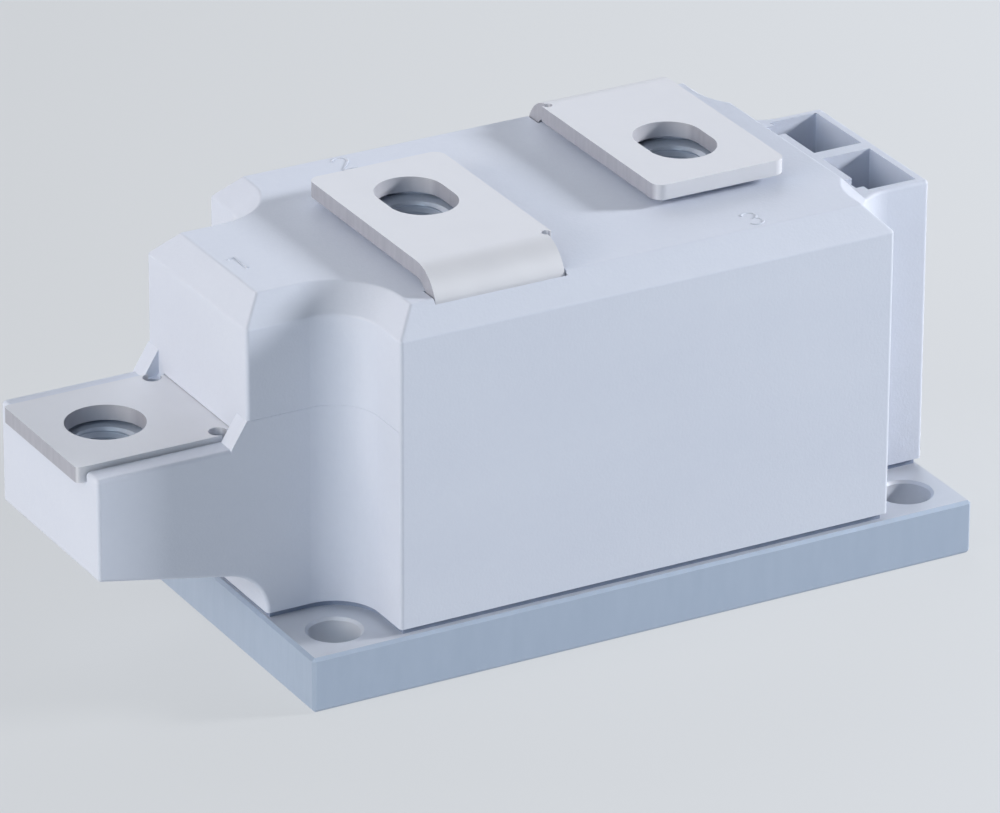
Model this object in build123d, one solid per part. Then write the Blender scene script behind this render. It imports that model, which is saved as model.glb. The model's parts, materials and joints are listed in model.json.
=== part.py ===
"""Thyristor module with three screw terminals and two gate sockets.

Millimetres. The origin is the centre of the baseplate's underside, +X runs along the
module towards the gate sockets, +Y to the rear and +Z up from the heat sink.
"""

import os
from math import atan2, cos, degrees, hypot, radians, tan

from build123d import *

# Baseplate
BASE_LENGTH = 92.0
BASE_WIDTH = 50.0
BASE_THICKNESS = 7.2
BASE_EDGE_BREAK = 0.4
HOLE_MARGIN = 6.0
HOLE_DIAMETER = 6.4
HOLE_EDGE_BREAK = 0.35

# Housing outside
SEAL_HEIGHT = 0.9
COVE_RADIUS = 6.0
SIDE_SETBACK = 0.4
END_SETBACK = 0.1
CROWN_HEIGHT = 3.2
CROWN_INSET = 3.0
EDGE_RADIUS = 0.5
TOWER_OVERHANG = 2.4
SOCKET_BOX_LENGTH = 8.1
SOCKET_LAND = 1.9
ARM_LENGTH = 19.8
ARM_TOP = 30.7
ARM_TIP_UNDERSIDE = 17.4
ARM_ROOT_UNDERSIDE = 13.1
ARM_ROOT_LAND = 0.1
GUSSET_LENGTH = 2.1
GUSSET_HEIGHT = 3.4
GUSSET_WIDTH = 2.7

# Housing inside
WALL = 2.0
ROOF = 3.0
POCKET_WALL = 1.8
SCREW_ROOM_DIAMETER = 9.0
SCREW_ROOM_DEPTH = 4.0
PAD_HEIGHT = 0.7
PAD_INSET = 2.0

# Gate sockets
SOCKET_LENGTH_X = 6.8
SOCKET_WALL = 1.1
SOCKET_PARTITION = 2.0
SOCKET_FLOOR = 2.0
KEY_DEPTH = 1.1
KEY_WIDTH = 2.8
KEY_END_MARGIN = 1.1

# Gate blades
BLADE_WALL_GAP = 1.55
BLADE_GAP = 2.2
BLADE_THICKNESS = 0.8
BLADE_HEIGHT = 6.4
BLADE_SHOULDER_STEP = 0.5
BLADE_SHOULDER_HEIGHT = 1.0

# Terminal strips
STRIP_THICKNESS = 2.0
STRIP_BEND = 2.0
TAB_BEND = 4.0
TAB_1_RIM = 3.1
TAB_1_TOP = 31.4
TAB_1_HOLE_SETBACK = 7.5
TAB_1_END = 8.7
TAB_1_CORNER = 0.6
TAB_1_HOLE_DIAMETER = 9.9
TAB_1_STEP = 1.2
TAB_1_RELIEF_DIAMETER = 2.3
TAB_1_RELIEF_SETBACK = 1.7
TAB_2_SETBACK = 15.4
TAB_2_END = 10.9
UPPER_TAB_WIDTH = 18.3
TAB_3_SETBACK = 16.7
TAB_3_END = 11.4
UPPER_TAB_CORNER = 1.5
UPPER_TAB_TOP = 52.1
TAB_SLOT_WIDTH = 8.8
TAB_SLOT_LENGTH = 12.0
NECK_STEP = 0.8
NECK_RELIEF_DIAMETER = 1.2
LEG_WIDTH = 8.0
LEG_STEP = 6.0
LEG_OFFSET = 1.5
LEG_1_SETBACK = 6.6

# Captive nuts
NUT_ACROSS_FLATS = 13.0
NUT_HEIGHT = 6.5
NUT_PLAY = 0.6
NUT_BORE_DIAMETER = 6.8
NUT_MOUTH_DIAMETER = 8.4
NUT_CORNER_BREAK = 0.7

# Stacks, from the baseplate up
STACK_GAP = 5.0
STACK_MARGIN = 0.5
INSULATOR_THICKNESS = 1.0
ANODE_PAD_MARGIN = 0.5
CARRIER_THICKNESS = 1.6
SILICON_MARGIN = 1.4
SILICON_THICKNESS = 0.6
SILICON_BEVEL = 0.4
CONTACT_MARGIN = 1.6
CONTACT_THICKNESS = 1.2
CONTACT_BORE_RADIUS = 3.4
CATHODE_PAD_MARGIN = 2.0
RING_MARGIN = 0.5
RING_HEIGHT = 4.0
SPRING_MARGIN = 0.5
SPRING_BORE_RADIUS = 4.5
SPRING_THICKNESS = 1.2
SPRING_CONE = 0.6
CLAMP_THICKNESS = 4.5
CLAMP_WIDTH = 10.0
CLAMP_SCREW_INSET = 5.0
CLAMP_SCREW_DIAMETER = 5.0
CLAMP_HEAD_DIAMETER = 8.5
CLAMP_HEAD_HEIGHT = 5.0
CLAMP_KEY_ACROSS_FLATS = 4.0
CLAMP_KEY_DEPTH = 2.5
CLAMP_THREAD_DEPTH = 5.0
SLEEVE_RADIUS = 2.8
SLEEVE_BORE_RADIUS = 0.95
SLEEVE_RISE = 0.3
PIN_RADIUS = 0.75
PIN_RISE = 0.7
LINK_WIDTH = 16.0
LINK_LEG_X = -1.6
LINK_SEAT_MARGIN = 0.2

# Wires
WIRE_RADIUS = 0.4
WIRE_BEND = 1.0
WIRE_END = 0.2
GATE_WIRE_RISE = 1.2
CATHODE_WIRE_DROP = 0.7
CATHODE_WIRE_INSET = 1.5

# Clearances
CLEARANCE = 0.2
SLIDE_CLEARANCE = 0.1
SCREW_CLEARANCE = 0.25
THREAD_CLEARANCE = 0.1
RECESS_CLEARANCE = 0.25
BEND_ROOM = 0.9
LEG_CLEARANCE = 0.7
TAB_CLEARANCE = 0.4
FRAME_CLEARANCE = 0.3
FRAME_RIM = 0.2
SEAL_INSET = 0.7
SEAL_WIDTH = 1.0

# Levels and places that follow from the sizes above
hole_x = BASE_LENGTH / 2 - HOLE_MARGIN
hole_y = BASE_WIDTH / 2 - HOLE_MARGIN
body_half_x = hole_x - COVE_RADIUS
waist_half_y = hole_y - COVE_RADIUS
body_half_y = BASE_WIDTH / 2 - SIDE_SETBACK
foot_reach = BASE_LENGTH / 2 - END_SETBACK
socket_reach = BASE_LENGTH / 2
socket_left = socket_reach - SOCKET_BOX_LENGTH
tower_reach = BASE_LENGTH / 2 + TOWER_OVERHANG
arm_reach = tower_reach + ARM_LENGTH
housing_foot = BASE_THICKNESS + SEAL_HEIGHT
upper_tab_floor = UPPER_TAB_TOP - STRIP_THICKNESS
pad_top = upper_tab_floor - TAB_CLEARANCE
crown_top = pad_top - PAD_HEIGHT
wall_top = crown_top - CROWN_HEIGHT
cavity_top = crown_top - ROOF
leg_face = body_half_y - WALL - LEG_CLEARANCE
bend_start = leg_face - STRIP_THICKNESS / 2 - TAB_BEND
tab_1_floor = TAB_1_TOP - STRIP_THICKNESS
tab_1_width = 2 * (waist_half_y - TAB_1_RIM)
tab_1_neck_width = tab_1_width - 2 * TAB_1_STEP
tab_1_hole_x = TAB_1_HOLE_SETBACK - arm_reach
tab_1_end_x = tab_1_hole_x - TAB_1_END
tab_2_x = TAB_2_SETBACK - body_half_x
tab_3_x = body_half_x - TAB_3_SETBACK
relief_x = -tower_reach - TAB_1_RELIEF_SETBACK
leg_1_x = LEG_1_SETBACK - tower_reach
socket_right = socket_left + SOCKET_LENGTH_X
socket_width = waist_half_y - SOCKET_WALL - SOCKET_PARTITION / 2
socket_y = (SOCKET_PARTITION + socket_width) / 2
blade_x = socket_left + SOCKET_LENGTH_X / 2
blade_width = (socket_width - BLADE_GAP) / 2 - BLADE_WALL_GAP
clamp_screw_dy = body_half_y - WALL - SLIDE_CLEARANCE - CLAMP_WIDTH / 2
stack_room_x = body_half_x - WALL - FRAME_CLEARANCE - FRAME_RIM - STACK_GAP / 2
stack_room_y = 2 * (clamp_screw_dy - CLAMP_SCREW_DIAMETER / 2 - STACK_MARGIN)
stack_x = (STACK_GAP + stack_room_x) / 2
insulator_side = min(stack_room_x, stack_room_y)
clamp_screw_dx = insulator_side / 2 - CLAMP_SCREW_INSET
anode_pad_side = insulator_side - 2 * ANODE_PAD_MARGIN
carrier_radius = anode_pad_side / 2
silicon_radius = carrier_radius - SILICON_MARGIN
contact_radius = silicon_radius - CONTACT_MARGIN
cathode_pad_side = anode_pad_side - 2 * CATHODE_PAD_MARGIN
ring_radius = contact_radius - RING_MARGIN
spring_radius = ring_radius - SPRING_MARGIN
insulator_top = BASE_THICKNESS + INSULATOR_THICKNESS
anode_top = insulator_top + STRIP_THICKNESS
carrier_top = anode_top + CARRIER_THICKNESS
silicon_top = carrier_top + SILICON_THICKNESS
contact_top = silicon_top + CONTACT_THICKNESS
cathode_top = contact_top + STRIP_THICKNESS
ring_top = cathode_top + RING_HEIGHT
spring_top = ring_top + 2 * (SPRING_THICKNESS + SPRING_CONE)
clamp_top = spring_top + CLAMP_THICKNESS
sleeve_top = clamp_top + SLEEVE_RISE
pin_top = clamp_top + PIN_RISE
gate_wire_level = pin_top + GATE_WIRE_RISE
cathode_wire_level = gate_wire_level - CATHODE_WIRE_DROP
blade_foot = gate_wire_level + WIRE_BEND + WIRE_END
socket_underside = blade_foot + BLADE_SHOULDER_HEIGHT
socket_floor_top = socket_underside + SOCKET_FLOOR


def block(x, y, z):
    """Box between two limits along each axis."""
    size = [high - low for low, high in (x, y, z)]
    middle = [(high + low) / 2 for low, high in (x, y, z)]
    return Pos(*middle) * Box(*size)


def prism(sketch, low, high):
    """Solid standing on a sketch between two heights."""
    return extrude(Pos(0, 0, low) * sketch, high - low)


def rod(x, y, radius, low, high):
    """Upright round bar."""
    return prism(Pos(x, y) * Circle(radius), low, high)


def hexagon(across_flats):
    """Hexagon with two flats facing the module's ends."""
    return Rot(0, 0, 30) * RegularPolygon(across_flats / 2, 6, major_radius=False)


def plan(left, right, inset=0.0):
    """Housing seen from above: body, waist and a cove round each mounting hole."""
    outline = Rectangle(2 * (body_half_x - inset), 2 * (body_half_y - inset))
    waist = Rectangle(left + right, 2 * (waist_half_y - inset))
    outline += Pos((right - left) / 2, 0) * waist
    corner = COVE_RADIUS + inset
    for x in (-1, 1):
        for y in (-1, 1):
            square = Rectangle(corner, corner)
            outline += Pos(x * (hole_x - corner / 2), y * (hole_y - corner / 2)) * square
            outline -= Pos(x * hole_x, y * hole_y) * Circle(corner)
    window = Rectangle(left + right - 2 * inset, 2 * BASE_WIDTH)
    return outline & Pos((right - left) / 2, 0) * window


def baseplate():
    """Plated plate with four mounting holes and the clamp screws' tapped holes."""
    plate = prism(Rectangle(BASE_LENGTH, BASE_WIDTH), 0, BASE_THICKNESS)
    plate = chamfer(plate.edges(), BASE_EDGE_BREAK)
    for x in (-hole_x, hole_x):
        for y in (-hole_y, hole_y):
            plate -= rod(x, y, HOLE_DIAMETER / 2, 0, BASE_THICKNESS)
    rims = plate.edges().filter_by(GeomType.CIRCLE)
    plate = chamfer(rims, HOLE_EDGE_BREAK)
    bore = CLAMP_SCREW_DIAMETER / 2 + THREAD_CLEARANCE
    low = BASE_THICKNESS - CLAMP_THREAD_DEPTH - CLEARANCE
    for side in (-1, 1):
        for x, y in clamp_places(side):
            plate -= rod(x, y, bore, low, BASE_THICKNESS)
    return plate


def base_seal():
    """Bead of adhesive between the housing's foot and the baseplate."""
    ring = plan(foot_reach, socket_reach, SEAL_INSET)
    ring -= plan(foot_reach, socket_reach, SEAL_INSET + SEAL_WIDTH)
    return prism(ring, BASE_THICKNESS, housing_foot)


def arm_and_tower():
    """Left end seen from the front: overhanging arm, its root and the tower."""
    points = [
        (-body_half_x, housing_foot),
        (-foot_reach, housing_foot),
        (-foot_reach, ARM_ROOT_UNDERSIDE),
        (-arm_reach, ARM_TIP_UNDERSIDE),
        (-arm_reach, ARM_TOP),
        (-tower_reach, ARM_TOP),
        (-tower_reach, wall_top),
        (-body_half_x, wall_top),
    ]
    side = Plane.XZ * make_face(Polyline(*points, close=True))
    end = extrude(side, waist_half_y, both=True)
    slope = atan2(ARM_TIP_UNDERSIDE - ARM_ROOT_UNDERSIDE, arm_reach - foot_reach)
    upright = ARM_ROOT_UNDERSIDE - housing_foot - ARM_ROOT_LAND
    radius = upright / tan((radians(90) - slope) / 2)
    root = [
        edge
        for edge in end.edges().filter_by(Axis.Y)
        if abs(edge.center().X + foot_reach) < CLEARANCE
        and abs(edge.center().Z - ARM_ROOT_UNDERSIDE) < CLEARANCE
    ]
    return fillet(root, radius)


def gussets():
    """Sloped ribs that join the arm's top to the tower beside terminal 1."""
    root = EDGE_RADIUS - tower_reach
    points = [
        (root, ARM_TOP - EDGE_RADIUS),
        (-tower_reach - GUSSET_LENGTH, ARM_TOP - EDGE_RADIUS),
        (-tower_reach - GUSSET_LENGTH, ARM_TOP),
        (-tower_reach, ARM_TOP + GUSSET_HEIGHT),
        (root, ARM_TOP + GUSSET_HEIGHT),
    ]
    side = Plane.XZ * make_face(Polyline(*points, close=True))
    rib = extrude(side, GUSSET_WIDTH)
    return Pos(0, waist_half_y, 0) * rib + Pos(0, GUSSET_WIDTH - waist_half_y, 0) * rib


def crown():
    """Chamfered top of the body and the tower."""
    outline = Pos(0, 0, wall_top) * plan(tower_reach, socket_left - SOCKET_LAND)
    slope = degrees(atan2(CROWN_INSET, CROWN_HEIGHT))
    return extrude(outline, CROWN_HEIGHT, taper=slope)


def rounded_above(body, level):
    """Body with its edges rounded, apart from those of its flat foot."""
    edges = [edge for edge in body.edges() if edge.bounding_box().max.Z > level + EDGE_RADIUS / 2]
    return fillet(edges, EDGE_RADIUS)


def tab_pad(hole_x_place, width, low_y, high_y):
    """Low pad on the crown under an upper tab, round its nut pocket."""
    half = width / 2 - PAD_INSET
    span = (hole_x_place - half, hole_x_place + half)
    return block(span, (low_y, high_y), (crown_top, pad_top))


def nut_cup(x, y, top, depth_below):
    """Closed cup under the roof that holds a nut and the tip of its screw."""
    radius = (NUT_ACROSS_FLATS / 2 + SLIDE_CLEARANCE) / cos(radians(30)) + POCKET_WALL
    return rod(x, y, radius, depth_below, top)


def nut_pocket(x, tab_floor):
    """Room for a nut, with a round hole below it for the end of a screw."""
    seat = tab_floor - NUT_PLAY - NUT_HEIGHT
    across = NUT_ACROSS_FLATS + 2 * SLIDE_CLEARANCE
    room = prism(Pos(x, 0) * hexagon(across), seat, tab_floor)
    return room + rod(x, 0, SCREW_ROOM_DIAMETER / 2, seat - SCREW_ROOM_DEPTH, seat)


def cavity():
    """Space inside the housing, lower under the gate sockets."""
    room = prism(plan(foot_reach, socket_reach, WALL), housing_foot, cavity_top)
    under = block(
        (socket_left - WALL, socket_reach),
        (-waist_half_y, waist_half_y),
        (socket_underside, cavity_top),
    )
    return room - under


def gate_socket(side):
    """Well for a gate plug, with a key groove near its outer end."""
    low_y, high_y = sorted((side * SOCKET_PARTITION / 2, side * (SOCKET_PARTITION / 2 + socket_width)))
    depth = (socket_floor_top, crown_top)
    well = block((socket_left, socket_right), (low_y, high_y), depth)
    outer = SOCKET_PARTITION / 2 + socket_width - KEY_END_MARGIN
    key_y = sorted((side * outer, side * (outer - KEY_WIDTH)))
    key = block((socket_left - KEY_DEPTH, socket_left), key_y, depth)
    return well + key


def blade_places():
    """Blade number and its place across the module, from the front."""
    half = (blade_width + BLADE_GAP) / 2
    across = (-socket_y - half, -socket_y + half, socket_y - half, socket_y + half)
    return list(zip((4, 5, 6, 7), across))


def blade_slots():
    """Slots in the sockets' floors that the blades pass through."""
    half_x = BLADE_THICKNESS / 2 + SLIDE_CLEARANCE
    half_y = blade_width / 2 + SLIDE_CLEARANCE
    slots = Part()
    for _, y in blade_places():
        slots += block(
            (blade_x - half_x, blade_x + half_x),
            (y - half_y, y + half_y),
            (socket_underside, socket_floor_top),
        )
    return slots


def tab_1_recess():
    """Shallow seat of terminal 1 in the arm, its slot into the tower and two core marks."""
    half = tab_1_width / 2 + RECESS_CLEARANCE
    neck = tab_1_neck_width / 2 + CLEARANCE
    seat = block((-arm_reach, relief_x), (-half, half), (tab_1_floor, ARM_TOP))
    slot = block((relief_x, leg_1_x), (-neck, neck), (tab_1_floor, TAB_1_TOP + SLIDE_CLEARANCE))
    marks = Part()
    for y in (-1, 1):
        place = y * tab_1_neck_width / 2
        low = tab_1_floor - TAB_1_RELIEF_DIAMETER
        marks += rod(relief_x, place, TAB_1_RELIEF_DIAMETER / 2, low, TAB_1_TOP)
    return seat + slot + marks


def neck_place(x, width, side):
    """Middle and width of an upper terminal's neck, stepped in along one edge."""
    return x + side * NECK_STEP / 2, width - NECK_STEP


def leg_slot(x, width, side):
    """Slot in the roof for the neck of an upper terminal and the inside of its bend."""
    middle, neck = neck_place(x, width, side)
    outer = side * (leg_face + CLEARANCE)
    inner = side * (leg_face - STRIP_THICKNESS - BEND_ROOM)
    half = neck / 2 + CLEARANCE
    return block((middle - half, middle + half), sorted((outer, inner)), (cavity_top, upper_tab_floor))


def housing():
    """One moulding that covers the stacks and carries the terminals."""
    body = prism(plan(foot_reach, socket_reach), housing_foot, wall_top)
    body += arm_and_tower()
    body += crown()
    body = rounded_above(body, housing_foot)
    body += gussets()
    body -= cavity()
    cup_floor = upper_tab_floor - NUT_PLAY - NUT_HEIGHT - SCREW_ROOM_DEPTH - POCKET_WALL
    for x in (tab_2_x, tab_3_x):
        body += nut_cup(x, 0, cavity_top + ROOF / 2, cup_floor)
    body += tab_pad(tab_2_x, UPPER_TAB_WIDTH, -bend_start, TAB_2_END - PAD_INSET)
    body += tab_pad(tab_3_x, UPPER_TAB_WIDTH, PAD_INSET - TAB_3_END, bend_start)
    body -= leg_slot(tab_2_x, UPPER_TAB_WIDTH, -1)
    body -= leg_slot(tab_3_x, UPPER_TAB_WIDTH, 1)
    body -= nut_pocket(tab_2_x, upper_tab_floor)
    body -= nut_pocket(tab_3_x, upper_tab_floor)
    body -= tab_1_recess()
    body -= nut_pocket(tab_1_hole_x, tab_1_floor)
    for side in (-1, 1):
        body -= gate_socket(side)
    return body - blade_slots()


def strip(points, plane, width, bend=STRIP_BEND):
    """Sheet metal strip bent along a path of its middle line, centred on the plane."""
    path = FilletPolyline(*points, radius=bend)
    band = trace(path.edges(), line_width=STRIP_THICKNESS)
    return extrude(plane * band, width / 2, both=True)


def upright_plate(outline_x, outline_y, low, corners, radius):
    """Flat plate one strip thick, with some of its upright corners rounded."""
    plate = block(outline_x, outline_y, (low, low + STRIP_THICKNESS))
    edges = [
        edge
        for edge in plate.edges().filter_by(Axis.Z)
        if any(hypot(edge.center().X - x, edge.center().Y - y) < CLEARANCE for x, y in corners)
    ]
    return fillet(edges, radius)


def terminal_1():
    """Low tab, neck through the tower wall, leg and the left stack's anode plate."""
    tab_level = tab_1_floor + STRIP_THICKNESS / 2
    foot_level = insulator_top + STRIP_THICKNESS / 2
    link_seat = LINK_LEG_X + STRIP_THICKNESS / 2 + LINK_SEAT_MARGIN
    points = [
        (tab_1_end_x + TAB_1_END, tab_level),
        (leg_1_x, tab_level),
        (leg_1_x, foot_level),
        (link_seat, foot_level),
    ]
    metal = strip(points, Plane.XZ, tab_1_neck_width)
    half = tab_1_width / 2
    corners = [(tab_1_end_x, -half), (tab_1_end_x, half)]
    metal += upright_plate((tab_1_end_x, relief_x), (-half, half), tab_1_floor, corners, TAB_1_CORNER)
    metal += anode_pad(-1)
    metal -= rod(tab_1_hole_x, 0, TAB_1_HOLE_DIAMETER / 2, tab_1_floor, TAB_1_TOP)
    for y in (-1, 1):
        place = y * tab_1_neck_width / 2
        metal -= rod(relief_x, place, TAB_1_RELIEF_DIAMETER / 2, tab_1_floor, TAB_1_TOP)
    return metal


def anode_pad(side):
    """Square plate under a thyristor."""
    half = anode_pad_side / 2
    x = side * stack_x
    return block((x - half, x + half), (-half, half), (insulator_top, anode_top))


def cathode_pad(side):
    """Square plate above a thyristor, with a hole for the gate sleeve."""
    half = cathode_pad_side / 2
    x = side * stack_x
    pad = block((x - half, x + half), (-half, half), (contact_top, cathode_top))
    return pad - rod(x, 0, SLEEVE_RADIUS + CLEARANCE, contact_top, cathode_top)


def upper_tab(x, width, end_y, side):
    """Flat part of an upper terminal, from its free end to the start of its bend."""
    half = width / 2
    free = -side * end_y
    span_y = sorted((free, side * bend_start))
    corners = [(x - half, free), (x + half, free)]
    return upright_plate((x - half, x + half), span_y, upper_tab_floor, corners, UPPER_TAB_CORNER)


def upper_terminal(x, width, end_y, side, foot_level, foot_end, leg_x):
    """Upper tab with an oblong hole, its bent neck and a narrow leg down to a plate."""
    tab_level = upper_tab_floor + STRIP_THICKNESS / 2
    leg_y = side * (leg_face - STRIP_THICKNESS / 2)
    shoulder_end = upper_tab_floor - LEG_STEP
    middle, neck = neck_place(x, width, side)
    shoulder = [(0, tab_level), (leg_y, tab_level), (leg_y, shoulder_end)]
    leg = [(leg_y, shoulder_end), (leg_y, foot_level), (foot_end, foot_level)]
    metal = strip(shoulder, Plane.YZ.offset(middle), neck, TAB_BEND)
    metal += strip(leg, Plane.YZ.offset(leg_x), LEG_WIDTH)
    metal += upper_tab(x, width, end_y, side)
    hole = Pos(x, 0) * SlotOverall(TAB_SLOT_LENGTH, TAB_SLOT_WIDTH, rotation=90)
    metal -= prism(hole, upper_tab_floor, UPPER_TAB_TOP)
    step_x = x - side * (width / 2 - NECK_STEP)
    relief = rod(step_x, side * bend_start, NECK_RELIEF_DIAMETER / 2, upper_tab_floor, UPPER_TAB_TOP)
    return metal - relief


def terminal_2():
    """Strip bent down at the front, to the left stack's cathode."""
    level = contact_top + STRIP_THICKNESS / 2
    foot_end = -cathode_pad_side / 2
    leg_x = LEG_OFFSET - stack_x
    metal = upper_terminal(tab_2_x, UPPER_TAB_WIDTH, TAB_2_END, -1, level, foot_end, leg_x)
    return metal + cathode_pad(-1)


def terminal_3():
    """Strip bent down at the rear, to the right stack's anode."""
    level = insulator_top + STRIP_THICKNESS / 2
    foot_end = anode_pad_side / 2
    leg_x = stack_x - LEG_OFFSET
    metal = upper_terminal(tab_3_x, UPPER_TAB_WIDTH, TAB_3_END, 1, level, foot_end, leg_x)
    return metal + anode_pad(1)


def middle_link():
    """Strip from the right stack's cathode down to the left stack's anode plate."""
    level = contact_top + STRIP_THICKNESS / 2
    edge = stack_x - cathode_pad_side / 2
    points = [(edge, level), (LINK_LEG_X, level), (LINK_LEG_X, anode_top)]
    return strip(points, Plane.XZ, LINK_WIDTH, STRIP_THICKNESS / 2 + CLEARANCE) + cathode_pad(1)


def captive_nut(x, tab_floor):
    """Hexagon nut with chamfered corners and a countersunk mouth under its tab."""
    top = tab_floor - NUT_PLAY
    low = top - NUT_HEIGHT
    nut = prism(Pos(x, 0) * hexagon(NUT_ACROSS_FLATS), low, top)
    corner_radius = NUT_ACROSS_FLATS / 2 / cos(radians(30))
    blank = rod(x, 0, corner_radius, low, top)
    blank = chamfer(blank.edges().filter_by(GeomType.CIRCLE), NUT_CORNER_BREAK)
    nut &= blank
    nut -= rod(x, 0, NUT_BORE_DIAMETER / 2, low, top)
    mouth = (NUT_MOUTH_DIAMETER - NUT_BORE_DIAMETER) / 2
    rims = [edge for edge in nut.edges().filter_by(GeomType.CIRCLE) if edge.radius < NUT_MOUTH_DIAMETER / 2]
    return chamfer(rims, mouth)


def gate_blade(y):
    """Flat contact that stands in a socket, with shoulders under the socket's floor."""
    half_x = BLADE_THICKNESS / 2
    half_y = blade_width / 2
    tip = socket_floor_top + BLADE_HEIGHT
    blade = block((blade_x - half_x, blade_x + half_x), (y - half_y, y + half_y), (blade_foot, tip))
    blade = chamfer(blade.edges().group_by(Axis.Z)[-1], BLADE_THICKNESS / 4)
    wide = half_y + BLADE_SHOULDER_STEP
    shoulder = block(
        (blade_x - half_x, blade_x + half_x), (y - wide, y + wide), (blade_foot, socket_underside)
    )
    return blade + shoulder


def clamp_places(side):
    """Places of a stack's two clamp screws, on a diagonal clear of the terminals' legs."""
    x = side * stack_x
    return [(x - clamp_screw_dx, -clamp_screw_dy), (x + clamp_screw_dx, clamp_screw_dy)]


def insulator(side):
    """Ceramic plate between a stack and the baseplate."""
    plate = Pos(side * stack_x, 0) * Rectangle(insulator_side, insulator_side)
    return prism(plate, BASE_THICKNESS, insulator_top)


def insulating_frame():
    """Moulded sheet round the ceramic plates, under the terminals' feet."""
    sheet = plan(foot_reach, socket_reach, WALL + FRAME_CLEARANCE)
    window = insulator_side + 2 * SLIDE_CLEARANCE
    for side in (-1, 1):
        sheet -= Pos(side * stack_x, 0) * Rectangle(window, window)
        for x, y in clamp_places(side):
            sheet -= Pos(x, y) * Circle(CLAMP_SCREW_DIAMETER / 2 + SCREW_CLEARANCE)
    return prism(sheet, BASE_THICKNESS, insulator_top)


def thyristor(side):
    """Round silicon wafer with a bevelled rim on its metal carrier disc."""
    x = side * stack_x
    carrier = rod(x, 0, carrier_radius, anode_top, carrier_top)
    wafer = rod(x, 0, silicon_radius, carrier_top, silicon_top)
    rim = wafer.edges().filter_by(GeomType.CIRCLE).group_by(Axis.Z)[-1]
    return carrier + chamfer(rim, SILICON_BEVEL)


def contact_disc(side):
    """Metal disc on the cathode, open in the middle for the gate."""
    x = side * stack_x
    disc = rod(x, 0, contact_radius, silicon_top, contact_top)
    return disc - rod(x, 0, CONTACT_BORE_RADIUS, silicon_top, contact_top)


def pressure_ring(side):
    """Insulating ring that carries the clamping force to the cathode plate."""
    x = side * stack_x
    ring = rod(x, 0, ring_radius, cathode_top, ring_top)
    return ring - rod(x, 0, CONTACT_BORE_RADIUS, cathode_top, ring_top)


def disc_springs(side):
    """Two conical spring washers, rim against rim."""
    thick, cone = SPRING_THICKNESS, SPRING_CONE
    lower = [
        (SPRING_BORE_RADIUS, 0),
        (spring_radius, cone),
        (spring_radius, cone + thick),
        (SPRING_BORE_RADIUS, thick),
    ]
    height = 2 * (thick + cone)
    upper = [(radius, height - z) for radius, z in lower]
    washers = []
    for points in (lower, upper):
        profile = Plane.XZ * make_face(Polyline(*points, close=True))
        washers.append(Pos(side * stack_x, 0, ring_top) * revolve(profile, Axis.Z))
    return Compound(children=[washer.solid() for washer in washers])


def clamp_bar(side):
    """Steel bar with round ends that presses the stack together."""
    angle = degrees(atan2(clamp_screw_dy, clamp_screw_dx))
    spacing = 2 * hypot(clamp_screw_dx, clamp_screw_dy)
    x = side * stack_x
    outline = Pos(x, 0) * Rot(0, 0, angle) * SlotCenterToCenter(spacing, CLAMP_WIDTH)
    for hole_place in clamp_places(side):
        outline -= Pos(*hole_place) * Circle(CLAMP_SCREW_DIAMETER / 2 + SCREW_CLEARANCE)
    outline -= Pos(x, 0) * Circle(SLEEVE_RADIUS + CLEARANCE)
    return prism(outline, spring_top, clamp_top)


def clamp_screws(side):
    """Socket head screws from the clamp bar into the baseplate."""
    screws = []
    head_top = clamp_top + CLAMP_HEAD_HEIGHT
    for x, y in clamp_places(side):
        low = BASE_THICKNESS - CLAMP_THREAD_DEPTH
        screw = rod(x, y, CLAMP_SCREW_DIAMETER / 2, low, clamp_top)
        screw += rod(x, y, CLAMP_HEAD_DIAMETER / 2, clamp_top, head_top)
        key = Pos(x, y) * hexagon(CLAMP_KEY_ACROSS_FLATS)
        screw -= prism(key, head_top - CLAMP_KEY_DEPTH, head_top)
        screws.append(screw.solid())
    return Compound(children=screws)


def gate_sleeve(side):
    """Insulating tube that guides the gate pin through the stack."""
    x = side * stack_x
    tube = rod(x, 0, SLEEVE_RADIUS, silicon_top, sleeve_top)
    return tube - rod(x, 0, SLEEVE_BORE_RADIUS, silicon_top, sleeve_top)


def gate_pin(side):
    """Pin that stands on the gate in the middle of the wafer."""
    return rod(side * stack_x, 0, PIN_RADIUS, silicon_top, pin_top)


def wire(points):
    """Round wire with small bends along a path."""
    path = FilletPolyline(*points, radius=WIRE_BEND)
    start = Plane(origin=path @ 0, z_dir=path % 0)
    return sweep(start * Circle(WIRE_RADIUS), path=path)


def gate_lead(side, y):
    """Wire from a gate pin to its blade, over the clamp bars."""
    x = side * stack_x
    points = [
        (x, 0, pin_top),
        (x, 0, gate_wire_level),
        (x + cathode_pad_side / 2, y, gate_wire_level),
        (blade_x, y, gate_wire_level),
        (blade_x, y, blade_foot),
    ]
    return wire(points)


def cathode_lead(x, y):
    """Wire from a cathode plate to its blade."""
    points = [
        (x, y, cathode_top),
        (x, y, cathode_wire_level),
        (blade_x, y, cathode_wire_level),
        (blade_x, y, blade_foot),
    ]
    return wire(points)


def gate_circuit():
    """Blades and the wires that join them to the two stacks."""
    places = dict(blade_places())
    reach = cathode_pad_side / 2 - CATHODE_WIRE_INSET
    nodes = {f"gate_blade_{number}": gate_blade(y) for number, y in places.items()}
    nodes["cathode_lead_left"] = cathode_lead(-stack_x + reach, places[4])
    nodes["gate_lead_left"] = gate_lead(-1, places[5])
    nodes["gate_lead_right"] = gate_lead(1, places[6])
    nodes["cathode_lead_right"] = cathode_lead(stack_x - reach, places[7])
    return nodes


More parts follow.
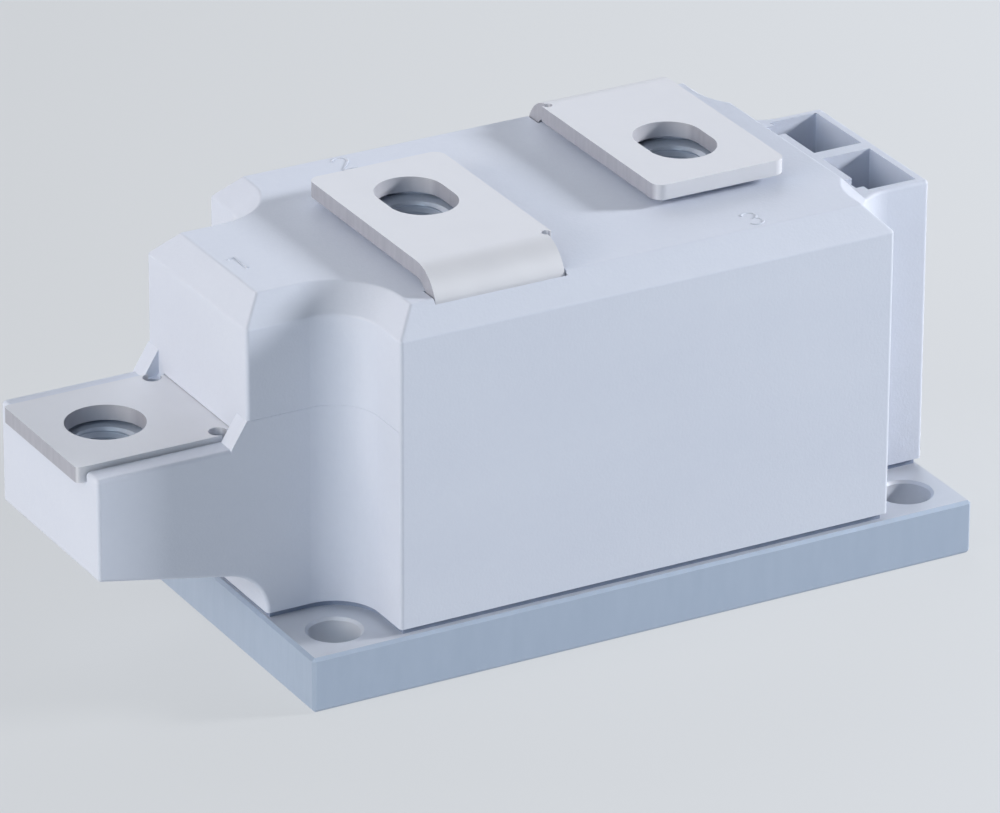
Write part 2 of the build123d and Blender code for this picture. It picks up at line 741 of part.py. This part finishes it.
def stack(side, name):
    """Everything clamped over one ceramic plate, apart from the strips."""
    pieces = {
        "insulator": insulator,
        "thyristor": thyristor,
        "contact_disc": contact_disc,
        "pressure_ring": pressure_ring,
        "disc_springs": disc_springs,
        "clamp_bar": clamp_bar,
        "clamp_screws": clamp_screws,
        "gate_sleeve": gate_sleeve,
        "gate_pin": gate_pin,
    }
    return {f"{piece}_{name}": make(side) for piece, make in pieces.items()}


def module():
    """Every node of the module by name."""
    nodes = {
        "baseplate": baseplate(),
        "base_seal": base_seal(),
        "housing": housing(),
        "insulating_frame": insulating_frame(),
        "terminal_1": terminal_1(),
        "terminal_2": terminal_2(),
        "terminal_3": terminal_3(),
        "middle_link": middle_link(),
        "nut_1": captive_nut(tab_1_hole_x, tab_1_floor),
        "nut_2": captive_nut(tab_2_x, upper_tab_floor),
        "nut_3": captive_nut(tab_3_x, upper_tab_floor),
    }
    nodes.update(stack(-1, "left"))
    nodes.update(stack(1, "right"))
    nodes.update(gate_circuit())
    return nodes


os.makedirs("parts", exist_ok=True)
for node, shape in module().items():
    export_step(shape, f"parts/{node}.step")
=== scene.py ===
"""Looks of the thyristor module: finishes, threads, raised numbers, light and camera."""

import json
from math import cos, pi, radians, sin

import bmesh
import bpy
from mathutils import Matrix, Vector


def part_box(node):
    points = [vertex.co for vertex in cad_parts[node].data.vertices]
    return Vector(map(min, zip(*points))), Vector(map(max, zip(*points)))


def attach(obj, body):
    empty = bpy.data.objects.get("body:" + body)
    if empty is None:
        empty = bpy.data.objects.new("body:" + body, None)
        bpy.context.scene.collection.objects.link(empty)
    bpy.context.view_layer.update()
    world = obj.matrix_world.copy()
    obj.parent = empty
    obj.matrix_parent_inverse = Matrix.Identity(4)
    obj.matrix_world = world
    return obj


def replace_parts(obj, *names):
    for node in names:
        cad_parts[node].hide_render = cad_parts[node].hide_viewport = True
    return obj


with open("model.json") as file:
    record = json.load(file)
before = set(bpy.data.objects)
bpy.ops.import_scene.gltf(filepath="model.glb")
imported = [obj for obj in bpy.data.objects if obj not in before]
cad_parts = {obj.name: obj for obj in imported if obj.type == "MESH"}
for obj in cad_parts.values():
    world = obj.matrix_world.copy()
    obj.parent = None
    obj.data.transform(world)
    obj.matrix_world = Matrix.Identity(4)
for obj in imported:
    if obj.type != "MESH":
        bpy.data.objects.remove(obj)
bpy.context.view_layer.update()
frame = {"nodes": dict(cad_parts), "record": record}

MM = 0.001

# Camera, solved from the photograph's edges, with its angles in degrees
IMAGE_WIDTH = 1000
IMAGE_HEIGHT = 813
VIEW_AZIMUTH = 29.0032
VIEW_ELEVATION = 24.9668
VIEW_ROLL = 0.2399
VIEW_DISTANCE = 0.9929
FOCAL_PIXELS = 8091.0
SENSOR_WIDTH = 36.0
NEAR_CLIP = 0.05
FAR_CLIP = 20
AIM = Vector((0, 0, 25 * MM))
AIM_PIXEL = (549.78, 369.52)

# Lamps: azimuth and elevation in degrees, distance and width in metres, power in watts, colour
LAMPS = {
    "key": (68, 21, 0.9, 0.16, 9.2, (0.985, 0.985, 1.0)),
    "fill_cool": (-60, 22, 0.9, 0.4, 1.75, (0.72, 0.86, 1.0)),
    "fill_warm": (-90, 16, 0.9, 0.4, 3.8, (1.0, 0.895, 0.79)),
    "fill_high": (-60, 50, 1.0, 0.6, 1.6, (0.80, 0.90, 1.0)),
    "card_right": (165, 34, 1.1, 0.9, 4.5, (0.85, 0.91, 1.0)),
    "card_left": (-150, 35, 1.1, 0.9, 3.4, (1.0, 0.93, 0.91)),
}
SURROUNDINGS_COLOUR = (0.74, 0.83, 1.0, 1)
SURROUNDINGS_STRENGTH = 0.01

# Floor, which glows more from left to right over twice the fade
FLOOR_SIZE = 8
FLOOR_GAP = 0.02 * MM
FLOOR_FADE = 75 * MM
FLOOR_TONES = ((0.095, 0.098, 0.10), (0.105, 0.108, 0.11))
FLOOR_GLOWS = ((0.50, 0.52, 0.545), (0.575, 0.60, 0.635))

# Places and sizes on the solids
PAD_HEIGHT = 0.7 * MM
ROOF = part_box("housing")[1].z - PAD_HEIGHT
COVE_CENTRE = (-40 * MM, -19 * MM)
COVE_RADIUS = 6 * MM
TOWER_X = -48.4 * MM
TOWER_SIDE_Y = COVE_CENTRE[1] + COVE_RADIUS
BODY_SIDE_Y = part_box("housing")[0].y
BASE_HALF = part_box("baseplate")[1].xy
TERMINALS = (1, 2, 3)
SCREW_X = [sum(corner.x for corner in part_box(f"nut_{number}")) / 2 for number in TERMINALS]
SCREW_HOLE_HALF = (5.1 * MM, 6.2 * MM)

# Captive nuts: radii at the thread's crest and root and at the countersunk mouth, and the
# thread's profile as pairs of a share of its pitch and a share of its depth
THREAD_PITCH = 1.25 * MM
THREAD_CREST = 3.4 * MM
THREAD_ROOT = 4.0 * MM
THREAD_MOUTH = 4.2 * MM
THREAD_ROWS = 12
THREAD_PROFILE = ((0.0, 0.0), (0.25, 0.0), (0.5625, 1.0), (0.6875, 1.0), (1.0, 0.0))
NUT_CORNER_BREAK = 0.7 * MM
NUT_BREAK_STEPS = 6
NUT_SIDES = 96
MERGE_DISTANCE = 0.0002 * MM
SHARP_ANGLE = 28

# Raised numbers on the roof
DIGIT_HEIGHT = 3.6 * MM
DIGIT_STROKE = 0.2 * MM
DIGIT_RISE = 0.12 * MM
DIGIT_PLACES = {
    "1": (-43.1 * MM, -1.4 * MM),
    "2": (-18.4 * MM, 19.2 * MM),
    "3": (17.1 * MM, -19.1 * MM),
}

# Mould parting line round the left end, with its ends tucked into the housing
PARTING_LEVEL = 34 * MM
PARTING_RADIUS = 0.06 * MM
PARTING_TUCK = 0.5 * MM
ARC_STEPS = 24
BEAD_RESOLUTION = 3

# Ranges of noise that the materials spread out, from a soft pattern to a firm one
SOFT = (0.3, 0.7)
CLOUDY = (0.32, 0.68)
BLOTCHY = (0.33, 0.67)
FIRM = (0.35, 0.65)

# Edges of the masks: how squarely a face looks along an axis, and shares of a half size.
# The holes' walls take only a share of the sides' painted shade.
LEVEL_EDGE = (0.75, 0.95)
SIDE_EDGE = (0.75, 0.97)
RIM_EDGE = (0.95, 0.96)
HOLE_EDGE = (0.98, 1.0)
HOLE_WALL_SHADE_SHARE = 0.6

# Sockets of a colour mix node
MIX_FIRST, MIX_SECOND, MIX_RESULT = 6, 7, 2


def toward(azimuth, elevation):
    """Unit vector from the module, azimuth turned from the front towards +X, in degrees."""
    a, e = radians(azimuth), radians(elevation)
    return Vector((sin(a) * cos(e), -cos(a) * cos(e), sin(e)))


def new_object(name, data):
    """Object linked to the scene."""
    made = bpy.data.objects.new(name, data)
    bpy.context.scene.collection.objects.link(made)
    return made


# Materials

class Nodes:
    """One material, with short names for the making of its nodes."""

    def __init__(self, name):
        self.material = bpy.data.materials.new(name)
        self.material.use_nodes = True
        self.tree = self.material.node_tree
        self.shader = self.tree.nodes["Principled BSDF"]
        self.place = self.add("ShaderNodeTexCoord").outputs["Object"]

    def add(self, kind, **settings):
        """New node with its settings."""
        node = self.tree.nodes.new(kind)
        for key, value in settings.items():
            setattr(node, key, value)
        return node

    def link(self, source, target):
        """Joins an output to an input."""
        self.tree.links.new(source, target)

    def give(self, target, value):
        """Sets a colour or number on an input, or links an output to it."""
        if isinstance(value, tuple):
            target.default_value = (*value, 1)
        elif isinstance(value, (int, float)):
            target.default_value = value
        else:
            self.link(value, target)

    def shade(self, socket, value):
        """Gives one of the shader's inputs its number or its output."""
        self.give(self.shader.inputs[socket], value)

    def noise(self, scale, detail=3, stretch=(1, 1, 1), roughness=0.5):
        """Noise mostly between 0.3 and 0.7, with its scale per metre."""
        mapping = self.add("ShaderNodeMapping")
        mapping.inputs["Scale"].default_value = stretch
        self.link(self.place, mapping.inputs["Vector"])
        node = self.add("ShaderNodeTexNoise")
        self.give(node.inputs["Scale"], scale)
        self.give(node.inputs["Detail"], detail)
        self.give(node.inputs["Roughness"], roughness)
        self.link(mapping.outputs["Vector"], node.inputs["Vector"])
        return node.outputs["Fac"]

    def ramp(self, value, low, high, out_low=0.0, out_high=1.0):
        """Value moved from one range to another and held there."""
        node = self.add("ShaderNodeMapRange")
        self.give(node.inputs["From Min"], low)
        self.give(node.inputs["From Max"], high)
        self.give(node.inputs["To Min"], out_low)
        self.give(node.inputs["To Max"], out_high)
        self.link(value, node.inputs["Value"])
        return node.outputs["Result"]

    def mix(self, factor, first, second):
        """Colour mixed from two colours or outputs."""
        node = self.add("ShaderNodeMix", data_type="RGBA")
        self.link(factor, node.inputs["Factor"])
        self.give(node.inputs[MIX_FIRST], first)
        self.give(node.inputs[MIX_SECOND], second)
        return node.outputs[MIX_RESULT]

    def combine(self, operation, *values):
        """Outputs or numbers joined by a mathematical operation."""
        node = self.add("ShaderNodeMath", operation=operation)
        for socket, value in zip(node.inputs, values):
            self.give(socket, value)
        return node.outputs[0]

    def size(self, value):
        """Value without its sign."""
        return self.combine("ABSOLUTE", value)

    def split(self, vector):
        """The three parts of a vector."""
        node = self.add("ShaderNodeSeparateXYZ")
        self.link(vector, node.inputs[0])
        return node.outputs

    def facing(self, axis):
        """How squarely the surface faces along an axis, from 0 to 1."""
        return self.size(self.split(self.add("ShaderNodeNewGeometry").outputs["Normal"])[axis])

    def bump(self, *heights):
        """Bumps from pairs of a height output and its depth in metres."""
        normal = None
        for height, depth in heights:
            node = self.add("ShaderNodeBump")
            self.give(node.inputs["Strength"], 1.0)
            self.give(node.inputs["Distance"], depth)
            self.link(height, node.inputs["Height"])
            if normal is not None:
                self.link(normal, node.inputs["Normal"])
            normal = node.outputs["Normal"]
        self.shade("Normal", normal)


def upright(m, share=1.0):
    """Mask of the faces that aren't level, as strong as its share."""
    return m.ramp(m.facing("Z"), *LEVEL_EDGE, share, 0.0)


def shaded_rim_sides(m):
    """Mask of the baseplate's outer faces that aren't level, where shade is painted."""
    x, y, _ = m.split(m.place)
    half_x, half_y = BASE_HALF
    across = m.combine("DIVIDE", m.size(x), half_x)
    along = m.combine("DIVIDE", m.size(y), half_y)
    rim = m.ramp(m.combine("MAXIMUM", across, along), *RIM_EDGE)
    return m.combine("MULTIPLY", upright(m), rim)


def shaded_hole_walls(m):
    """Weaker mask of the walls of the strips' screw holes, where shade is painted."""
    x, y, _ = m.split(m.place)
    half_x, half_y = SCREW_HOLE_HALF
    first, second, third = [m.size(m.combine("SUBTRACT", x, screw_x)) for screw_x in SCREW_X]
    nearest = m.combine("MINIMUM", m.combine("MINIMUM", first, second), third)
    across = m.combine("DIVIDE", nearest, half_x)
    along = m.combine("DIVIDE", m.size(y), half_y)
    hole = m.ramp(m.combine("MAXIMUM", across, along), *HOLE_EDGE, 1.0, 0.0)
    return m.combine("MULTIPLY", hole, upright(m, HOLE_WALL_SHADE_SHARE))


def shaded_strip_sides(m):
    """Mask of the strips' cut sides and of their holes' walls, where shade is painted."""
    return m.combine("MAXIMUM", m.ramp(m.facing("X"), *SIDE_EDGE), shaded_hole_walls(m))


def moulded_plastic(name, pale, deep):
    """Moulded thermoplastic with a fine spark eroded grain and faint flow marks."""
    m = Nodes(name)
    clouds = m.combine("MULTIPLY", m.ramp(m.noise(35, stretch=(1, 1, 2.2)), *CLOUDY), 0.75)
    speckle = m.combine("MULTIPLY", m.ramp(m.noise(900, detail=2), *FIRM), 0.25)
    grain = m.noise(2600, detail=2, roughness=0.6)
    flow = m.noise(110, stretch=(1, 1, 0.35))
    m.shade("Base Color", m.mix(m.combine("ADD", clouds, speckle), deep, pale))
    m.shade("Roughness", m.ramp(grain, *SOFT, 0.46, 0.6))
    m.shade("Specular IOR Level", 0.4)
    m.bump((flow, 0.05 * MM), (grain, 0.02 * MM))
    return m.material


def plated_metal(name, bright, dull, roughness, metallic=1.0, sides=None, side_shade_colours=None):
    """Plating over rolled stock, satin to matt, with painted shade where sides has a mask."""
    m = Nodes(name)
    blotches = m.ramp(m.noise(160, detail=4), *BLOTCHY)
    rolling = m.noise(700, stretch=(1, 0.06, 1))
    colour = m.mix(blotches, dull, bright)
    streaks = m.ramp(rolling, *SOFT, 0.0, 0.03)
    heights = [(m.noise(240, detail=2), 0.008 * MM), (rolling, 0.002 * MM)]
    # Darker colours of painted shade on the masked sides, mixed in streaks like shear marks
    if sides:
        side = sides(m)
        shear = m.noise(1500, stretch=(0.4, 1, 0.12))
        colour = m.mix(side, colour, m.mix(m.ramp(shear, *SOFT), *side_shade_colours))
        heights.append((m.combine("MULTIPLY", shear, side), 0.006 * MM))
    m.shade("Base Color", colour)
    m.shade("Roughness", m.combine("ADD", streaks, m.ramp(blotches, 0, 1, *roughness)))
    m.shade("Metallic", metallic)
    m.bump(*heights)
    return m.material


def ground_metal(name, bright, dull, roughness):
    """Turned or ground metal with fine random scratches."""
    m = Nodes(name)
    scratches = m.noise(900, detail=4, stretch=(1, 0.15, 1))
    m.shade("Base Color", m.mix(m.ramp(m.noise(220), *FIRM), dull, bright))
    m.shade("Roughness", m.ramp(scratches, *SOFT, *roughness))
    m.shade("Metallic", 1.0)
    m.bump((scratches, 0.01 * MM))
    return m.material


def sealant(name, pale, deep):
    """Cured adhesive bead, dark and slightly uneven."""
    m = Nodes(name)
    lumps = m.noise(420)
    m.shade("Base Color", m.mix(m.ramp(lumps, *FIRM), deep, pale))
    m.shade("Roughness", m.ramp(lumps, *SOFT, 0.45, 0.7))
    m.bump((lumps, 0.15 * MM))
    return m.material


def ceramic(name, pale, deep):
    """Sintered ceramic, off white with a fine grain."""
    m = Nodes(name)
    grain = m.noise(1800)
    m.shade("Base Color", m.mix(m.ramp(grain, *FIRM), deep, pale))
    m.shade("Roughness", m.ramp(grain, *SOFT, 0.25, 0.45))
    m.bump((grain, 0.01 * MM))
    return m.material


def wire_insulation(name, pale, deep):
    """Glossy extruded insulation with faint lengthwise streaks."""
    m = Nodes(name)
    streaks = m.noise(600, detail=2, stretch=(0.1, 1, 1))
    m.shade("Base Color", m.mix(m.ramp(streaks, *FIRM), deep, pale))
    m.shade("Roughness", m.ramp(streaks, *SOFT, 0.3, 0.42))
    return m.material


def pale_floor():
    """Pale studio floor that glows a little, so that shadows stay faint, lighter on the right."""
    m = Nodes("studio_floor")
    m.shade("Base Color", m.mix(m.ramp(m.noise(6, detail=2), *SOFT), *FLOOR_TONES))
    across = m.add("ShaderNodeVectorMath", operation="DOT_PRODUCT")
    across.inputs[1].default_value = toward(90 - VIEW_AZIMUTH, 0)
    m.link(m.place, across.inputs[0])
    share = m.ramp(across.outputs["Value"], -FLOOR_FADE, FLOOR_FADE)
    m.shade("Emission Color", m.mix(share, *FLOOR_GLOWS))
    m.shade("Emission Strength", 1.0)
    m.shade("Roughness", 0.95)
    return m.material


# Each slot's maker with its lighter and darker colour, and on a metal the lowest and highest
# roughness, how metallic it is where that isn't fully, and the mask of its sides and the
# two colours of painted shade there
FINISHES = {
    "housing_plastic": (moulded_plastic, (0.64, 0.682, 0.775), (0.615, 0.657, 0.755)),
    "nickel_base": (
        plated_metal, (0.62, 0.65, 0.71), (0.59, 0.62, 0.68), (0.42, 0.5), 0.3,
        # Darker outer sides are painted shade: the plating is the same as on the top
        shaded_rim_sides, ((0.42, 0.50, 0.62), (0.40, 0.48, 0.60)),
    ),
    "nickel_strip": (
        plated_metal, (0.705, 0.718, 0.76), (0.685, 0.698, 0.74), (0.5, 0.54), 0.15,
        # Darker cut sides and hole walls are painted shade, streaked like the shear marks of a cut
        shaded_strip_sides, ((0.37, 0.38, 0.435), (0.415, 0.425, 0.48)),
    ),
    "nut_steel": (plated_metal, (0.59, 0.645, 0.735), (0.53, 0.585, 0.68), (0.35, 0.45), 0.25),
    "sealant": (sealant, (0.27, 0.32, 0.43), (0.22, 0.27, 0.37)),
    "tinned_brass": (plated_metal, (0.72, 0.70, 0.66), (0.62, 0.60, 0.55), (0.25, 0.4)),
    "copper": (plated_metal, (0.80, 0.42, 0.28), (0.68, 0.33, 0.21), (0.25, 0.4)),
    "ceramic": (ceramic, (0.88, 0.87, 0.82), (0.78, 0.77, 0.72)),
    "frame_plastic": (moulded_plastic, (0.03, 0.03, 0.033), (0.02, 0.02, 0.022)),
    "silicon": (ground_metal, (0.30, 0.31, 0.35), (0.24, 0.25, 0.30), (0.1, 0.25)),
    "contact_metal": (ground_metal, (0.55, 0.55, 0.56), (0.45, 0.45, 0.46), (0.25, 0.4)),
    "spring_steel": (ground_metal, (0.42, 0.42, 0.44), (0.33, 0.33, 0.35), (0.25, 0.4)),
    "screw_steel": (ground_metal, (0.12, 0.12, 0.13), (0.08, 0.08, 0.09), (0.35, 0.5)),
    "sleeve_plastic": (moulded_plastic, (0.75, 0.74, 0.68), (0.70, 0.69, 0.63)),
    "wire": (wire_insulation, (0.55, 0.05, 0.035), (0.42, 0.03, 0.02)),
}
materials = {slot: maker(slot, *settings) for slot, (maker, *settings) in FINISHES.items()}


def dress_frame():
    """Gives each carried node the material of its slot."""
    for row in frame["record"]["subparts"]:
        node = frame["nodes"][row["node"]]
        node.data.materials.clear()
        node.data.materials.append(materials[row["material_slot"]])


def new_piece(name, data, slot):
    """Object with the material of its slot, riding on the one body."""
    data.materials.append(materials[slot])
    made = new_object(name, data)
    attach(made, "root")
    return made


# Captive nuts with real threads

def thread_depth(turn):
    """Share of the thread's depth at a place along its pitch."""
    turn %= 1.0
    for (start, low), (end, high) in zip(THREAD_PROFILE, THREAD_PROFILE[1:]):
        if turn <= end:
            return low + (high - low) * (turn - start) / (end - start)


def add_nut(form, low, high):
    """Adds a hexagon nut with chamfered corners, countersunk mouths and a helical thread."""
    centre = (low + high) / 2
    flats = (high.x - low.x) / 2
    corner = flats / cos(pi / 6)
    rows = int((high.z - low.z) / THREAD_PITCH + 2) * THREAD_ROWS

    def vertex_at(side, radius, z):
        """New vertex at one of the steps round the nut."""
        angle = 2 * pi * side / NUT_SIDES
        return form.verts.new((centre.x + radius * cos(angle), centre.y + radius * sin(angle), z))

    def from_end(z):
        """Distance to the nearer end."""
        return min(high.z - z, z - low.z)

    def bore_radius(side, z):
        """The thread's radius, or the countersink's where that is wider."""
        depth = thread_depth((z - low.z) / THREAD_PITCH - side / NUT_SIDES)
        radius = THREAD_CREST + (THREAD_ROOT - THREAD_CREST) * depth
        return max(radius, THREAD_MOUTH - from_end(z))

    def outer_radius(side, z):
        """The hexagon's radius, cut down by the chamfer near its corners."""
        angle = (2 * pi * side / NUT_SIDES + pi / 6) % (pi / 3) - pi / 6
        return min(flats / cos(angle), corner - NUT_CORNER_BREAK + from_end(z))

    # The bore's rows rise along the helix, so the last side joins the first one a turn higher
    bore = []
    for side in range(NUT_SIDES):
        line = []
        for row in range(rows + 1):
            lift = row / THREAD_ROWS - 1 + side / NUT_SIDES
            z = min(max(low.z + THREAD_PITCH * lift, low.z), high.z)
            line.append(vertex_at(side, bore_radius(side, z), z))
        bore.append(line)
    for side in range(NUT_SIDES):
        here, there = bore[side], bore[(side + 1) % NUT_SIDES]
        shift = THREAD_ROWS if side == NUT_SIDES - 1 else 0
        for row in range(rows - shift):
            up = row + shift
            form.faces.new((here[row], here[row + 1], there[up + 1], there[up]))

    steps = [NUT_CORNER_BREAK / NUT_BREAK_STEPS * step for step in range(NUT_BREAK_STEPS + 1)]
    levels = [low.z + step for step in steps] + [high.z - step for step in reversed(steps)]
    outer = [
        [vertex_at(side, outer_radius(side, z), z) for z in levels] for side in range(NUT_SIDES)
    ]
    for side in range(NUT_SIDES):
        here, there = outer[side], outer[(side + 1) % NUT_SIDES]
        for row in range(len(levels) - 1):
            form.faces.new((here[row], there[row], there[row + 1], here[row + 1]))

    for z, row in ((low.z, 0), (high.z, -1)):
        rim = [vertex_at(side, THREAD_MOUTH, z) for side in range(NUT_SIDES)]
        for side in range(NUT_SIDES):
            other = (side + 1) % NUT_SIDES
            form.faces.new((rim[side], rim[other], outer[other][row], outer[side][row]))


def nuts():
    """Threaded nuts in place of the plain ones, smooth apart from their sharp edges."""
    for number in TERMINALS:
        node = f"nut_{number}"
        name = f"threaded_nut_{number}"
        form = bmesh.new()
        add_nut(form, *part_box(node))
        bmesh.ops.remove_doubles(form, verts=form.verts, dist=MERGE_DISTANCE)
        bmesh.ops.recalc_face_normals(form, faces=form.faces)
        mesh = bpy.data.meshes.new(name)
        form.to_mesh(mesh)
        form.free()
        for polygon in mesh.polygons:
            polygon.use_smooth = True
        mesh.set_sharp_from_angle(angle=radians(SHARP_ANGLE))
        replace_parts(new_piece(name, mesh, "nut_steel"), node)


# Raised numbers and the mould's parting line

def arc(x, y, radius, start, end):
    """Points along an arc, with its angles in degrees."""
    angles = [radians(start + (end - start) * step / ARC_STEPS) for step in range(ARC_STEPS + 1)]
    return [(x + radius * cos(angle), y + radius * sin(angle)) for angle in angles]


def bead(name, points, radius):
    """Round bead of the housing's plastic along a path of points."""
    curve = bpy.data.curves.new(name, "CURVE")
    curve.dimensions = "3D"
    curve.bevel_depth = radius
    curve.bevel_resolution = BEAD_RESOLUTION
    curve.use_fill_caps = True
    spline = curve.splines.new("POLY")
    spline.points.add(len(points) - 1)
    for point, place in zip(spline.points, points):
        point.co = (*place, 1)
    new_piece(name, curve, "housing_plastic")


def digit_strokes():
    """The stroke of each number in a box one unit high."""
    return {
        "1": [(-0.29, 0.4), (0, 0.5), (0, -0.5)],
        "2": arc(0, 0.23, 0.27, 170, -35) + [(-0.27, -0.5), (0.29, -0.5)],
        "3": arc(0, 0.24, 0.26, 160, -90) + arc(0, -0.24, 0.26, 90, -160)[1:],
    }


def digits():
    """Plain terminal numbers, raised a little from the roof and upright from the front."""
    level = ROOF + DIGIT_RISE - DIGIT_STROKE
    for text, stroke in digit_strokes().items():
        x0, y0 = DIGIT_PLACES[text]
        points = [(x0 + x * DIGIT_HEIGHT, y0 + y * DIGIT_HEIGHT, level) for x, y in stroke]
        bead(f"terminal_number_{text}", points, DIGIT_STROKE)


def parting_lines():
    """Fine line where two halves of the mould met, on both sides of the left end.

    Each runs from the tower's corner along its side and round the cove to the body's side.
    """
    x0, y0 = COVE_CENTRE
    path = [
        (TOWER_X + PARTING_TUCK, TOWER_SIDE_Y),
        *arc(x0, y0, COVE_RADIUS, 90, 0),
        (x0 + COVE_RADIUS, BODY_SIDE_Y + PARTING_TUCK),
    ]
    for side, name in ((1, "front"), (-1, "rear")):
        points = [(x, y * side, PARTING_LEVEL) for x, y in path]
        bead(f"parting_line_{name}", points, PARTING_RADIUS)


# Studio

def floor():
    """Wide pale floor just under the baseplate."""
    bpy.ops.mesh.primitive_plane_add(size=FLOOR_SIZE, location=(0, 0, -FLOOR_GAP))
    made = bpy.context.object
    made.name = "studio_floor"
    made.data.materials.append(pale_floor())


def lamp(name, azimuth, elevation, distance, width, power, colour):
    """Soft square lamp that faces the module."""
    data = bpy.data.lights.new(name, "AREA")
    data.size = width
    data.energy = power
    data.color = colour
    made = new_object(name, data)
    direction = toward(azimuth, elevation)
    made.location = AIM + direction * distance
    made.rotation_mode = "QUATERNION"
    made.rotation_quaternion = direction.to_track_quat("Z", "Y")


def studio():
    """Key light from the right, three fills from the left, two cards behind, faint surroundings."""
    for name, settings in LAMPS.items():
        lamp(name, *settings)
    world = bpy.data.worlds.new("studio")
    bpy.context.scene.world = world
    world.use_nodes = True
    background = world.node_tree.nodes["Background"]
    background.inputs["Color"].default_value = SURROUNDINGS_COLOUR
    background.inputs["Strength"].default_value = SURROUNDINGS_STRENGTH


def camera():
    """Camera at the photograph's place and viewing angle."""
    a, e, r = radians(VIEW_AZIMUTH), radians(VIEW_ELEVATION), radians(VIEW_ROLL)
    ahead = Vector((sin(a) * cos(e), cos(a) * cos(e), -sin(e)))
    level = Vector((cos(a), -sin(a), 0))
    upright = level.cross(ahead)
    right = level * cos(r) + upright * sin(r)
    up = upright * cos(r) - level * sin(r)
    pixel = VIEW_DISTANCE / FOCAL_PIXELS
    across = (AIM_PIXEL[0] - IMAGE_WIDTH / 2) * pixel
    above = (IMAGE_HEIGHT / 2 - AIM_PIXEL[1]) * pixel
    place = AIM - ahead * VIEW_DISTANCE - right * across - up * above
    data = bpy.data.cameras.new("camera")
    data.sensor_width = SENSOR_WIDTH
    data.sensor_fit = "HORIZONTAL"
    data.lens = FOCAL_PIXELS / IMAGE_WIDTH * SENSOR_WIDTH
    data.clip_start = NEAR_CLIP
    data.clip_end = FAR_CLIP
    made = new_object("camera", data)
    axes = Matrix((right, up, -ahead)).transposed().to_4x4()
    made.matrix_world = Matrix.Translation(place) @ axes
    bpy.context.scene.camera = made


dress_frame()
nuts()
digits()
parting_lines()
floor()
studio()
camera()
bpy.context.scene.view_settings.view_transform = "Standard"
